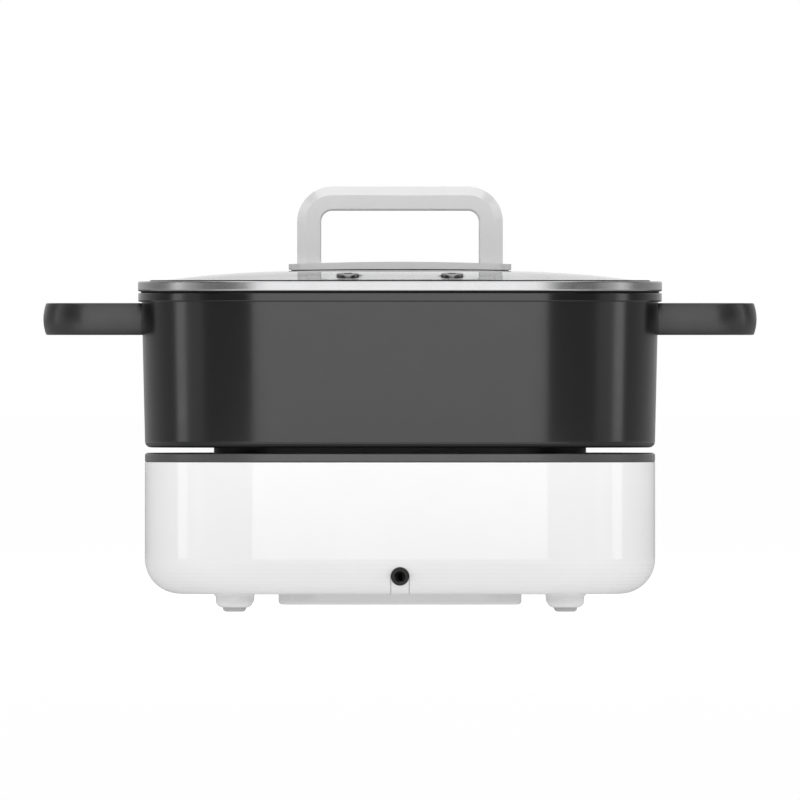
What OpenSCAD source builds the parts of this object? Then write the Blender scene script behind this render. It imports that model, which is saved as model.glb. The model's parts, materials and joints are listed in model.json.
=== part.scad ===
// Electric hot pot: heating base, lift-off cast pot and lift-off glass lid, in millimetres.
// +Z is up, the four feet stand on z = 0 and the origin is midway between them.
// The cord side faces -Y and the control side faces +Y.

/* [Plan] */
// Straight stretch between the round corners on every side
core_side = 140; // [120:1:150]

/* [Feet] */
// Distance of each foot from the side faces of the base
foot_inset = 52.8; // [50:0.1:60]
// Height of the base underside above the table
ground_gap = 10.3; // [9.5:0.1:14]
// Diameter of a foot cup where it leaves the bottom cover
foot_cup_d = 26; // [22:0.5:28]
// How far a foot cup flares out where it leaves the bottom cover
foot_flare = 2; // [1:0.1:2.4]
// Diameter of the rubber tip
foot_tip_d = 13.8; // [11:0.1:15]
// Height of the rubber tip below its cup
foot_tip_h = 2.4; // [1.8:0.1:3.2]
// Diameter of the flat contact under the rubber tip
foot_flat_d = 9.6; // [6:0.1:10]
// Diameter of the rubber stem inside the cup
foot_stem_d = 8; // [6:0.5:9]
// Length of the rubber stem inside the cup
foot_stem_h = 5; // [3:0.5:5.5]

/* [Base shell] */
// Overall width of the base
base_w = 300.2; // [292:0.2:306]
// Height of the base shell
base_h = 77.5; // [74:0.5:90]
// Wall of the base shell
base_wall = 2.8; // [2.2:0.1:3.4]
// Radius of the bottom edge of the base shell
base_edge_r = 20.6; // [16:0.2:22]
// Flat lip round the opening for the bottom cover
base_lip = 3.5; // [2.5:0.1:5]
// Diameter of the four screw columns
column_d = 9; // [8:0.5:10]
// Distance of the columns from the centre plane, along the wall
column_x = 60; // [52:1:64]
// Distance of the column axes from the outer face
column_inset = 34; // [32:0.5:38]
// Height of the ribs that carry the columns
rib_h = 20; // [12:1:24]
// Thickness of the ribs
rib_t = 2.4; // [1.6:0.1:3]

/* [Bottom cover] */
// Thickness of the bottom cover
cover_t = 2.5; // [2:0.1:3]
// Distance of the central drop from the side faces of the base
drop_inset = 78.5; // [75:0.1:82]
// Corner radius of the central drop
drop_corner_r = 27; // [20:0.5:32]
// How far the central drop reaches below the base shell
drop_h = 6.5; // [5:0.1:7]
// Radius of the lower edge of the central drop
drop_edge_r = 2; // [1:0.1:2.4]
// Number of ventilation slots
vent_count = 9; // [5:2:9]
// Width of a ventilation slot
vent_w = 3; // [2:0.1:3.4]
// Length of a ventilation slot
vent_l = 60; // [40:1:62]
// Distance between ventilation slots
vent_pitch = 6; // [5.5:0.1:6.2]

/* [Deck] */
// Height of the black edge of the deck
deck_edge_h = 5.1; // [4.5:0.1:6]
// Thickness of the deck
deck_t = 3; // [2.4:0.1:3.4]
// Rounding of the deck edge
deck_edge_r = 0.9; // [0.4:0.1:1.4]
// Depth of the lip that centres the deck in the base shell
deck_lip_h = 3; // [2:0.1:4]
// Thickness of the centring lip and of the recess wall
deck_lip_t = 2; // [1.5:0.1:2.5]
// Depth of the recess for the foot ring of the pot
recess_depth = 6.7; // [6:0.1:8]
// Play between the foot ring and the recess
recess_play = 2; // [1:0.1:3]
// Thickness of the recess floor
recess_floor_t = 2.2; // [1.8:0.1:3]
// Distance of the deck bosses from the centre plane, along the wall
ear_y = 45; // [42:1:52]
// Width of the ears on the base shell that the deck is screwed to
ear_w = 12; // [10:0.5:14]
// Thickness of the ears
ear_t = 3; // [2:0.1:4]
// Gap between the ears and the centring lip of the deck
ear_gap = 1; // [0.5:0.1:2]
// Diameter of the deck bosses
deck_boss_d = 8; // [7:0.5:9]

/* [Heating plate] */
// Distance of the heating plate from the side faces of the base
plate_inset = 62.1; // [59:0.1:66]
// Thickness of the heating plate
plate_t = 11.8; // [10.8:0.1:13]
// Chamfer round the top of the heating plate
plate_chamfer = 1.2; // [0.5:0.1:2]
// Ring gap between the heating plate and the deck
plate_gap = 3; // [2:0.5:5]
// Part of the plate diameter that the ring of the heating element has
element_share = 0.773; // [0.73:0.001:0.81]
// Diameter of the heating element tube
element_d = 7.5; // [6.5:0.1:8.5]
// Part of the turn that the element fills, in degrees
element_turn = 310; // [290:5:330]
// Part of the plate diameter that the circle of the three plate legs has
leg_share = 0.511; // [0.46:0.001:0.55]
// Diameter of a plate leg
leg_d = 10; // [9:0.5:12]
// Height of the plate legs
leg_h = 8.6; // [7.5:0.1:10]
// How far the reflector dish stands out past the heating plate
reflector_out = 11.5; // [8:0.5:14]
// Thickness of the reflector sheet
reflector_t = 0.8; // [0.6:0.1:1.2]
// Width of the flange of the reflector
reflector_flange = 6; // [4:0.5:8]
// Diameter of the three standoffs between the bottom cover and the reflector
standoff_d = 12; // [11:0.5:14]

/* [Sensor] */
// Diameter of the sensor cap
cap_d = 24.8; // [22:0.2:28]
// Thickness of the sensor cap
cap_t = 3.5; // [3:0.1:4]
// Wall of the sensor cap skirt and its holder
sensor_wall = 1.4; // [1:0.1:1.6]
// Travel of the sensor cap
sensor_travel = 3; // [2:0.1:3.2]
// Ring gap between the sensor and the heating plate
sensor_gap = 0.8; // [0.5:0.1:1.5]
// Wire diameter of the sensor spring
spring_wire_d = 1.2; // [0.8:0.1:1.4]
// Number of turns of the sensor spring
spring_turns = 5; // [3:1:6]

/* [Controls] */
// Gap between the dial well and the centring lip of the deck
dial_gap = 1; // [0.5:0.1:2]
// Diameter of the dial well
well_d = 54; // [50:1:56]
// Depth of the dial well
well_depth = 12; // [10:0.5:14]
// Wall of the dial well
well_wall = 2.3; // [2:0.1:2.6]
// Width of the flange that holds the dial cup behind the wall of the base shell
cup_flange_w = 7; // [5:0.5:9]
// Thickness of that flange
cup_flange_t = 2.4; // [1.6:0.1:3]
// Thickness of the dial plate
dial_plate_t = 1.2; // [0.8:0.1:1.6]
// Number of dial marks
mark_count = 11; // [7:2:13]
// Length of a dial mark
mark_l = 3.6; // [2:0.1:4.5]
// Width of a dial mark
mark_w = 1; // [0.6:0.1:1.4]
// How proud a dial mark stands
mark_h = 0.3; // [0.2:0.1:0.4]
// Diameter of the knob
knob_d = 34; // [30:0.5:35]
// Length of the knob
knob_l = 14; // [12:0.1:15]
// Wall of the knob
knob_wall = 2.4; // [2:0.1:3]
// Number of grip flutes round the knob
flute_count = 30; // [16:2:36]
// Width of a grip flute
flute_w = 2; // [1.2:0.1:2.4]
// Diameter of the metal disc in the knob face
knob_disc_d = 22; // [18:0.5:23]
// Part of a turn that the knob makes, in degrees
knob_turn = 270; // [240:5:300]
// Diameter of the thermostat shaft
shaft_d = 6; // [5:0.1:6.5]
// Width of the thermostat body
thermostat_w = 34; // [30:1:38]
// Length of the thermostat body behind the well
thermostat_l = 22; // [18:0.5:26]
// Height of the thermostat body
thermostat_h = 28; // [24:1:32]
// Distance of the indicator from the knob axis
lens_x = 50; // [46:0.5:56]
// Diameter of the indicator lens
lens_d = 6; // [5:0.1:8]
// How far the indicator lens stands out of the base shell
lens_proud = 1; // [0.5:0.1:1.5]
// Length of the indicator lamp
lamp_l = 16; // [12:0.5:20]

/* [Cord entry] */
// Height of the cord gland axis above the base underside
gland_rise = 10.6; // [10:0.1:12]
// Diameter of the cord gland
gland_d = 10.5; // [9.5:0.1:11.5]
// Bore of the cord gland
gland_bore_d = 6.4; // [5:0.1:7.5]
// Length of the cord gland
gland_l = 22; // [21:0.5:26]
// Diameter of the collar at the inner end of the gland
gland_collar_d = 15; // [13:0.5:15]
// Length of the collar
gland_collar_l = 3; // [2:0.1:4]
// Distance between the two cord clamp screws
clamp_pitch = 24; // [20:1:30]
// Width of the cord clamp
clamp_w = 8; // [7:0.5:10]
// Height of the cord clamp bar
clamp_h = 5; // [4.5:0.1:7]
// Gap between the cord gland and the cord clamp
clamp_gap = 10; // [6:0.5:12]
// Length of the terminal block
terminal_l = 46; // [40:1:52]
// Width of the terminal block
terminal_w = 18; // [16:0.5:22]
// Height of the terminal block
terminal_h = 15; // [12:0.5:18]
// Bore of a terminal
terminal_bore_d = 4; // [3.6:0.1:5]
// Diameter of an internal lead
lead_d = 3; // [2.4:0.1:3.4]

/* [Pot] */
// Shadow gap between the deck and the underside of the pot
pot_gap = 3.5; // [3:0.1:5]
// How much the pot widens on each side, from the width of the base up to its flange
pot_taper = 1.9; // [1:0.1:2.4]
// Height from the underside of the pot to the underside of its flange
pot_side_h = 85.8; // [80:0.2:110]
// Wall of the pot
pot_wall = 3; // [2.4:0.1:3.6]
// Thickness of the pot floor
pot_floor_t = 4; // [3:0.1:6]
// Radius of the outer bottom edge of the pot
pot_edge_r = 3.5; // [2:0.1:5]
// Radius between the floor and the wall inside the pot
pot_cove_r = 12; // [8:0.5:16]
// How far the flange round the mouth stands out of the pot
flange_out = 2.1; // [1:0.1:4]
// Thickness of the flange
flange_t = 5.1; // [4:0.1:6]
// Rounding of the flange edges
flange_edge_r = 0.6; // [0.4:0.1:1.4]
// Distance of the foot ring from the side of the pot
foot_ring_inset = 42.5; // [40:0.5:45]
// Wall of the foot ring
foot_ring_t = 4; // [3:0.1:6]
// Running clearance under the foot ring
foot_ring_clear = 0.3; // [0.2:0.1:0.6]

/* [Side handles] */
// Reach of each side handle from the side of the pot
handle_out = 58.2; // [52:0.2:68]
// Width of a side handle along the side of the pot
handle_w = 130; // [120:1:138]
// Height of a side handle
handle_h = 18.8; // [16:0.2:19]
// Thickness of a side handle, seen from above
handle_t = 17; // [15:0.5:19]
// Outer corner radius of a side handle, seen from above
handle_corner_r = 27.4; // [25:0.2:32]
// Gap between the flange and the top of a side handle
handle_drop = 0.8; // [0.6:0.1:2.4]
// Bulge of the outer face of a side handle
handle_bulge = 1.7; // [0.8:0.1:2.2]
// Edge rounding of a side handle
handle_edge_r = 1.2; // [0.8:0.1:2]
// Width and height of the brackets that carry the handles
lug_w = 8; // [7:0.2:9]
// Length of the brackets
lug_l = 17; // [14:0.5:20]

/* [Lid] */
// How far the steel rim stands out past the flange of the pot
rim_out = 0.1; // [0:0.1:1]
// Thickness of the silicone bed between the glass and the rim
glass_bed_t = 0.3; // [0.2:0.1:0.6]
// Width of the rim, seen from above
rim_cover = 6.7; // [5.6:0.1:8]
// Thickness of the rim sheet
rim_t = 0.8; // [0.6:0.1:1]
// Rounding of the rim edges
rim_edge_r = 1; // [1:0.1:1.6]
// Depth of the skirt that centres the lid in the pot
skirt_h = 6.2; // [4:0.1:9]
// Gap between the skirt and the mouth of the pot
skirt_gap = 1; // [0.6:0.1:1.6]
// Thickness of the seal under the rim
seal_t = 0.9; // [0.7:0.1:1.4]
// Width of the seal
seal_w = 2.8; // [2:0.1:3.2]
// How far the seal stands back from the edge of the rim
seal_inset = 1.8; // [1.2:0.1:2]
// Thickness of the glass
glass_t = 4; // [3:0.1:4]
// Rise of the glass dome
glass_rise = 7.6; // [6:0.1:14]
// Power of the dome curve: 2 is a parabola and more is flatter in the middle
glass_power = 3.3; // [2:0.1:3.4]
// How far the glass reaches under the rim
glass_tuck = 4; // [3.2:0.1:4.6]

/* [Lid handle] */
// Width over the handle loop
grip_w = 121.4; // [112:0.2:126]
// Height of the handle loop above the glass
grip_rise = 49.3; // [44:0.1:60]
// Thickness of the loop, seen from the front
grip_t = 14.2; // [12:0.1:15]
// Depth of the loop
grip_depth = 22; // [19:0.5:24]
// Outer corner radius of the loop
grip_corner_r = 20.6; // [18:0.1:24]
// Chamfer along the outer edges of the loop
grip_chamfer = 5.1; // [3:0.1:5.3]
// Rounding along the inner edges of the loop
grip_edge_r = 1.2; // [0.6:0.1:2]
// How far the plate under the loop stands out past it at each end
grip_plate_out = 5; // [3.7:0.1:8.7]
// Depth of the plate under the loop
grip_plate_depth = 32; // [29:0.5:36]
// Thickness of the plate at its middle
grip_plate_t = 4.3; // [3.4:0.1:5]
// How far the top of the plate falls towards its ends
grip_plate_fall = 1.4; // [1:0.1:2.2]
// Thickness of the gasket between the plate and the glass
gasket_t = 0.6; // [0.4:0.1:1.2]
// How far the gasket stands back from the edge of the plate
gasket_inset = 1.5; // [1:0.1:2.5]
// Diameter of the washers under the glass
washer_d = 14; // [12:0.5:16]
// Thickness of the washers
washer_t = 1.5; // [1:0.1:2]

/* [Steam eyelets] */
// Distance of each steam eyelet from the centre plane
eyelet_x = 30.6; // [26:0.2:36]
// Distance of the steam eyelets from the edge of the rim on the cord side
eyelet_inset = 36.2; // [32:0.2:46]
// Diameter of a steam eyelet
eyelet_d = 13.5; // [12:0.1:15]
// Height of a steam eyelet above the glass
eyelet_h = 1.4; // [1:0.1:3]
// Bore of a steam eyelet
eyelet_bore_d = 5; // [3.5:0.1:5.5]
// Wall of the tube of a steam eyelet
eyelet_wall = 1.2; // [0.8:0.1:1.5]
// Thickness of the rolled flange under the glass
eyelet_roll_t = 1.2; // [0.8:0.1:1.6]

/* [Screws] */
// Diameter of the small screws
small_screw_d = 3; // [2.5:0.1:3.2]
// Diameter of the large screws
large_screw_d = 4; // [3.5:0.1:4.2]

/* [Hidden] */
$fn = 96;
quarter = 90;
half_turn = 180;
full_turn = 360;
// Facets of the long curved cuts under the lid handle, and steps of large and small drawn arcs
long_curve_fn = 720;
large_steps = 12;
small_steps = 4;
// Clearance of sliding fits, of screws in their holes and of pieces dropped into a seat
fit = 0.05;
seat = 0.25;
// Overrun of every cut, and how far a boss or leg reaches into what it grows from
over = 1;
root = 1;
both_sides = [-1, 1];

// Corner radii of the plan: each is a distance out from the corner centres
half = core_side / 2;
base_r = base_w / 2 - half;
pot_low_r = base_r;
pot_r = pot_low_r + pot_taper;
flange_r = pot_r + flange_out;
foot_ring_r = pot_r - foot_ring_inset;
recess_r = foot_ring_r + recess_play;
rim_r = flange_r + rim_out;
cover_r = base_r - base_edge_r - base_lip - seat;
mouth_r = pot_r - pot_wall;
drop_w = base_w - 2 * drop_inset;
drop_side = drop_w - 2 * drop_corner_r;
foot_offset = base_w / 2 - foot_inset;
plate_d = base_w - 2 * plate_inset;
element_ring_d = element_share * plate_d;
leg_ring_d = leg_share * plate_d;
reflector_d = plate_d + 2 * reflector_out;
pot_x = half + pot_r;
handle_reach = pot_x + handle_out;
eyelet_y = half + rim_r - eyelet_inset;

// Heights
shell_z = ground_gap;
cover_top_z = shell_z + cover_t;
drop_z = shell_z - drop_h;
cup_z = foot_tip_h;
shell_top_z = shell_z + base_h;
deck_top_z = shell_top_z + deck_edge_h;
recess_z = deck_top_z - recess_depth;
recess_under_z = recess_z - recess_floor_t;
pot_z = deck_top_z + pot_gap;
plate_z = pot_z - plate_t;
reflector_top_z = plate_z - leg_h;
reflector_z = reflector_top_z - reflector_t;
flange_z = pot_z + pot_side_h;
mouth_z = flange_z + flange_t;
rim_z = mouth_z + seal_t;
rim_top_z = rim_z + glass_bed_t + glass_t + 2 * rim_t;
glass_z = rim_top_z - rim_t;
dome_z = glass_z + glass_rise;
ear_top_z = shell_top_z - deck_lip_h - ear_gap;
dial_z = shell_top_z - deck_lip_h - dial_gap - well_wall - well_d / 2;
gland_z = shell_z + gland_rise;

// Faces and seats
back_y = -base_w / 2;
front_y = base_w / 2;
well_y = front_y - well_depth;
thermostat_y = well_y - well_wall;
dial_face_y = well_y + dial_plate_t;
knob_y = dial_face_y + mark_h + seat;
knob_end_y = knob_y + knob_l;
clamp_y = back_y + gland_l + clamp_gap;
column_y = base_w / 2 - column_inset;
ear_x = base_w / 2 - base_wall - ear_w + deck_boss_d / 4;
plate_bore_d = cap_d + 2 * sensor_gap;
holder_d = cap_d - 2 * fit;
glass_open_r = rim_r - rim_cover;
glass_half = half + glass_open_r;
grip_r = grip_corner_r - grip_t;
grip_span = grip_w - 2 * grip_corner_r;
grip_screw_x = (grip_w - grip_t) / 2;
grip_plate_w = grip_w + 2 * grip_plate_out;
grip_plate_z = dome_z + gasket_t;
handle_r = handle_corner_r - handle_t;
handle_span = handle_w - 2 * handle_corner_r;
handle_leg = handle_out - handle_corner_r;
handle_z = flange_z - handle_drop - handle_h / 2;
lug_y = (handle_w - handle_t) / 2;

// Points of an arc round a centre
function arc(centre, radius, from, to, steps) = [for (i = [0 : steps])
    let (angle = from + (to - from) * i / steps)
    [centre.x + radius * cos(angle), centre.y + radius * sin(angle)]];

function after_first(list) = [for (i = [1 : len(list) - 1]) list[i]];
function before_last(list) = [for (i = [0 : len(list) - 2]) list[i]];

function turned(quarters, p) = quarters == 0 ? p : turned(quarters - 1, [-p.y, p.x]);

function unit(v) = v / norm(v);

// Sweeps a profile round the plan: its x is the distance out from the corner centres, its y the height
module sweep_plan(side = core_side) {
    for (turn = [0 : 3]) rotate([0, 0, turn * quarter]) translate([side / 2, side / 2, 0]) {
        rotate_extrude(angle = quarter) children();
        rotate([quarter, 0, 0]) linear_extrude(side) children();
    }
}

// A slab of the plan between two heights
module plan_slab(radius, low, high, side = core_side) {
    sweep_plan(side) translate([0, low]) square([radius, high - low]);
    translate([-side / 2, -side / 2, low]) cube([side, side, high - low]);
}

// A ring of the plan between two radii and two heights
module plan_ring(inner, outer, low, high, side = core_side) {
    sweep_plan(side) translate([inner, low]) square([outer - inner, high - low]);
}

// A loop handle in the XY plane with its bar on the +Y side: two legs, two round corners and the bar
module loop(span, leg) {
    for (side = [0, 1]) mirror([side, 0, 0]) translate([span / 2, 0, 0]) {
        rotate_extrude(angle = quarter) children();
        rotate([quarter, 0, 0]) linear_extrude(leg) children();
    }
    translate([-span / 2, 0, 0]) rotate([quarter, 0, quarter]) linear_extrude(span) children();
}

// Points a piece drawn along +Z towards +Y, at the height of the knob axis
module facing_front(x, y) {
    translate([x, y, dial_z]) rotate([-quarter, 0, 0]) children();
}

module ring(outer_d, inner_d, height) {
    difference() {
        cylinder(d = outer_d, h = height);
        translate([0, 0, -over]) cylinder(d = inner_d, h = height + 2 * over);
    }
}

// A countersunk screw that points up, with its head flush at z = 0
module screw(d, length) {
    slot_w = d / 5;
    difference() {
        union() {
            cylinder(d1 = 2 * d, d2 = d, h = d / 2);
            cylinder(d = d, h = length);
        }
        for (turn = [0, quarter]) rotate([0, 0, turn])
            translate([-d / 2, -slot_w / 2, -over]) cube([d, slot_w, over + d / 4]);
    }
}

// The hole for such a screw
module screw_hole(d, length) {
    translate([0, 0, -over]) cylinder(d = 2 * d + 2 * fit, h = over);
    cylinder(d1 = 2 * d + 2 * fit, d2 = d + 2 * fit, h = d / 2);
    cylinder(d = d + 2 * fit, h = length + fit);
}

module at_columns() {
    for (x = both_sides, y = both_sides) translate([x * column_x, y * column_y, 0]) children();
}

module at_ears() {
    for (x = both_sides, y = both_sides) translate([x * ear_x, y * ear_y, 0]) children();
}

module at_legs() {
    for (turn = [0 : 2]) rotate([0, 0, quarter + turn * full_turn / 3])
        translate([leg_ring_d / 2, 0, 0]) children();
}

module at_feet() {
    for (turn = [0 : 3]) rotate([0, 0, turn * quarter]) translate([foot_offset, foot_offset, 0]) children();
}

// Section of the base shell wall
module shell_section() {
    corner = [base_r - base_edge_r, shell_z + base_edge_r];
    polygon(concat(
        [[corner.x - base_lip, shell_z]],
        arc(corner, base_edge_r, -quarter, 0, large_steps),
        [[base_r, shell_top_z], [base_r - base_wall, shell_top_z]],
        arc(corner, base_edge_r - base_wall, 0, -quarter, large_steps),
        [[corner.x - base_lip, shell_z + base_wall]]));
}

// What the front face of the base shell encloses
module shell_inside() {
    corner = [base_r - base_edge_r, shell_z + base_edge_r];
    polygon(concat([[0, shell_z]], arc(corner, base_edge_r, -quarter, 0, large_steps),
        [[base_r, shell_top_z], [0, shell_top_z]]));
}

// Feet and bottom cover

cover_screw_l = rib_h / 2;

// The tongue that closes the cord slot below the gland
module cord_tongue() {
    tongue_w = gland_d;
    reach = base_edge_r + base_lip;
    translate([-tongue_w / 2, back_y + reach - root, shell_z]) cube([tongue_w, 2 * root, cover_t]);
    difference() {
        intersection() {
            translate([-tongue_w / 2, -half, 0]) rotate([quarter, 0, quarter]) mirror([1, 0, 0])
                linear_extrude(tongue_w) shell_section();
            translate([-tongue_w / 2, back_y, shell_z]) cube([tongue_w, reach, gland_rise]);
        }
        translate([0, back_y - over, gland_z]) rotate([-quarter, 0, 0])
            cylinder(d = gland_d + 2 * fit, h = gland_l + 2 * over);
    }
}

module foot_cup() {
    flare_z = shell_z - foot_flare;
    edge = foot_cup_d / 2 - foot_flare - foot_tip_d / 2;
    straight_z = cup_z + min(edge, flare_z - cup_z);
    rise = straight_z - cup_z;
    rotate_extrude() polygon(concat([[0, cup_z]],
        [for (p = arc([0, 0], 1, -quarter, 0, large_steps))
            [foot_tip_d / 2 + edge * p.x, straight_z + rise * p.y]],
        arc([foot_cup_d / 2, flare_z], foot_flare, half_turn, quarter, small_steps),
        [[foot_cup_d / 2, cover_top_z], [0, cover_top_z]]));
}

module bottom_cover() {
    drop_inner_r = drop_corner_r - cover_t;
    color("whitesmoke") difference() {
        union() {
            difference() {
                plan_slab(cover_r, shell_z, cover_top_z);
                plan_slab(drop_inner_r, shell_z - over, cover_top_z + over, drop_side);
            }
            sweep_plan(drop_side) polygon(concat([[0, drop_z]],
                arc([drop_corner_r - drop_edge_r, drop_z + drop_edge_r], drop_edge_r, -quarter, 0,
                    small_steps),
                [[drop_corner_r, cover_top_z], [drop_inner_r, cover_top_z],
                    [drop_inner_r, drop_z + cover_t], [0, drop_z + cover_t]]));
            translate([-drop_side / 2, -drop_side / 2, drop_z]) cube([drop_side, drop_side, cover_t]);
            at_feet() foot_cup();
            cord_tongue();
            for (x = both_sides) translate([x * clamp_pitch / 2, clamp_y, shell_z])
                cylinder(d = clamp_w, h = gland_rise);
        }
        at_columns() translate([0, 0, shell_z]) screw_hole(small_screw_d, cover_screw_l);
        at_feet() translate([0, 0, cup_z - over]) cylinder(d = foot_stem_d + 2 * fit, h = foot_stem_h + over);
        at_legs() translate([0, 0, drop_z]) screw_hole(large_screw_d, cover_t + over);
        for (i = [0 : vent_count - 1]) translate([(i - (vent_count - 1) / 2) * vent_pitch - vent_w / 2,
            -vent_l / 2, drop_z - over]) cube([vent_w, vent_l, cover_t + 2 * over]);
        for (x = both_sides) translate([x * clamp_pitch / 2, clamp_y, cover_top_z])
            cylinder(d = small_screw_d + 2 * fit, h = gland_rise);
        for (x = both_sides) translate([x * terminal_l * terminal_screw_share, terminal_y, shell_z - over])
            cylinder(d = small_screw_d + 2 * fit, h = cover_t + 2 * over);
    }
}

module rubber_foot() {
    edge = (foot_tip_d - foot_flat_d) / 2;
    color("dimgray") rotate_extrude() polygon(concat(
        [[0, 0]],
        [for (p = arc([0, 0], 1, -quarter, 0, small_steps))
            [foot_flat_d / 2 + edge * p.x, foot_tip_h * (1 + p.y)]],
        [[foot_stem_d / 2, foot_tip_h], [foot_stem_d / 2, foot_tip_h + foot_stem_h - fit],
            [0, foot_tip_h + foot_stem_h - fit]]));
}

module foot_at(quarters) {
    rotate([0, 0, quarters * quarter]) translate([foot_offset, foot_offset, 0]) rubber_foot();
}

module cover_screws() {
    color("silver") at_columns() translate([0, 0, shell_z]) screw(small_screw_d, cover_screw_l);
}

// Base shell

module base_shell() {
    slot_w = gland_d + 2 * seat;
    color("white") difference() {
        sweep_plan() shell_section();
        facing_front(0, thermostat_y) cylinder(d = well_d + 2 * well_wall + 2 * fit,
            h = well_depth + well_wall + over);
        facing_front(lens_x, front_y - 2 * base_wall) cylinder(d = lens_d + 2 * fit, h = 3 * base_wall);
        translate([-slot_w / 2, back_y - over, shell_z - over])
            cube([slot_w, base_edge_r + base_lip + 2 * over, gland_rise + over]);
        translate([0, back_y - over, gland_z]) rotate([-quarter, 0, 0])
            cylinder(d = slot_w, h = base_edge_r + base_lip + 2 * over);
    }
}

// Columns for the cover screws, each on a rib that stands on the wall of the shell
module screw_columns() {
    color("white") difference() {
        union() {
            at_columns() translate([0, 0, cover_top_z])
                cylinder(d = column_d, h = base_edge_r + rib_h - cover_t);
            for (x = both_sides, y = [0, 1]) mirror([0, y, 0])
                translate([x * column_x - rib_t / 2, column_y, shell_z + base_edge_r])
                    cube([rib_t, column_inset - base_wall, rib_h]);
        }
        at_columns() translate([0, 0, cover_top_z - over])
            cylinder(d = small_screw_d + 2 * fit, h = cover_screw_l + over);
    }
}

// Ears on the wall of the shell that the deck is screwed to
module deck_ears() {
    color("white") difference() {
        for (x = [0, 1], y = both_sides) mirror([x, 0, 0])
            translate([ear_x - ear_w / 2, y * ear_y - ear_w / 2, ear_top_z - ear_t])
                cube([base_w / 2 - base_wall - ear_x + ear_w / 2, ear_w, ear_t]);
        at_ears() translate([0, 0, ear_top_z - ear_t]) screw_hole(small_screw_d, ear_t + over);
    }
}

// Cup round the knob, flush with the base shell and held by its flange behind the wall
module dial_cup() {
    outer_d = well_d + 2 * well_wall;
    flat_z = shell_z + base_edge_r;
    color("white") difference() {
        union() {
            intersection() {
                facing_front(0, thermostat_y) cylinder(d = outer_d, h = well_depth + well_wall);
                translate([-half, half, 0]) rotate([quarter, 0, quarter]) linear_extrude(core_side)
                    shell_inside();
            }
            translate([-outer_d / 2 - cup_flange_w, front_y - base_wall - cup_flange_t, flat_z])
                cube([outer_d + 2 * cup_flange_w, cup_flange_t, dial_z + outer_d / 2 - flat_z]);
        }
        facing_front(0, well_y) cylinder(d = well_d, h = well_depth + over);
        facing_front(0, front_y - base_wall / 2) cylinder(d1 = well_d, d2 = well_d + base_wall,
            h = base_wall / 2 + fit);
        facing_front(0, thermostat_y - over) cylinder(d = bush_d + 2 * seat, h = well_wall + 2 * over);
        for (x = both_sides) facing_front(x * thermostat_screw_x, well_y) rotate([half_turn, 0, 0])
            screw_hole(small_screw_d, thermostat_screw_l);
    }
}

// Deck

deck_screw_l = ear_t + deck_lip_h;

module deck_plate() {
    lip_r = base_r - base_wall - seat;
    under_z = deck_top_z - deck_t;
    color("dimgray") difference() {
        union() {
            sweep_plan() polygon(concat(
                arc([base_r - deck_edge_r, shell_top_z + deck_edge_r], deck_edge_r, -quarter, 0, small_steps),
                arc([base_r - deck_edge_r, deck_top_z - deck_edge_r], deck_edge_r, 0, quarter, small_steps),
                arc([recess_r + deck_edge_r, deck_top_z - deck_edge_r], deck_edge_r, quarter, half_turn,
                    small_steps),
                [[recess_r, recess_z], [0, recess_z], [0, recess_under_z],
                    [recess_r + deck_lip_t, recess_under_z], [recess_r + deck_lip_t, under_z],
                    [lip_r - deck_lip_t, under_z], [lip_r - deck_lip_t, shell_top_z - deck_lip_h],
                    [lip_r, shell_top_z - deck_lip_h], [lip_r, shell_top_z]]));
            translate([-half, -half, recess_under_z]) cube([core_side, core_side, recess_floor_t]);
            at_ears() translate([0, 0, ear_top_z]) cylinder(d = deck_boss_d, h = under_z - ear_top_z + root);
        }
        translate([0, 0, recess_under_z - over])
            cylinder(d = plate_d + 2 * plate_gap, h = recess_floor_t + 2 * over);
        at_ears() translate([0, 0, ear_top_z - over])
            cylinder(d = small_screw_d + 2 * fit, h = deck_screw_l - ear_t + 2 * over);
    }
}

module deck_screws() {
    color("silver") at_ears() translate([0, 0, ear_top_z - ear_t]) screw(small_screw_d, deck_screw_l);
}

// Heating plate and what hangs under it

element_z = plate_z + element_d / 4;
pin_d = 6.5;
pin_h = element_z - reflector_z + leg_h;
element_start = quarter + (full_turn - element_turn) / 2;

module at_pins() {
    for (turn = [element_start, element_start + element_turn]) rotate([0, 0, turn])
        translate([element_ring_d / 2, 0, element_z - pin_h]) children();
}

module heating_plate() {
    color("silver") difference() {
        union() {
            translate([0, 0, plate_z]) cylinder(d = plate_d, h = plate_t - plate_chamfer);
            translate([0, 0, pot_z - plate_chamfer])
                cylinder(d1 = plate_d, d2 = plate_d - 2 * plate_chamfer, h = plate_chamfer);
            at_legs() translate([0, 0, reflector_top_z]) cylinder(d = leg_d, h = leg_h + root);
        }
        translate([0, 0, plate_z - over]) cylinder(d = plate_bore_d, h = plate_t + 2 * over);
        translate([0, 0, element_z]) rotate_extrude() translate([element_ring_d / 2, 0])
            circle(d = element_d + 2 * fit);
        at_legs() translate([0, 0, reflector_top_z - over])
            cylinder(d = large_screw_d + 2 * fit, h = leg_h + plate_t / 3 + over);
    }
}

module heating_element() {
    color("slategray") {
        translate([0, 0, element_z]) rotate([0, 0, element_start]) rotate_extrude(angle = element_turn)
            translate([element_ring_d / 2, 0]) circle(d = element_d);
        at_pins() cylinder(d = pin_d, h = pin_h);
    }
}

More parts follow.
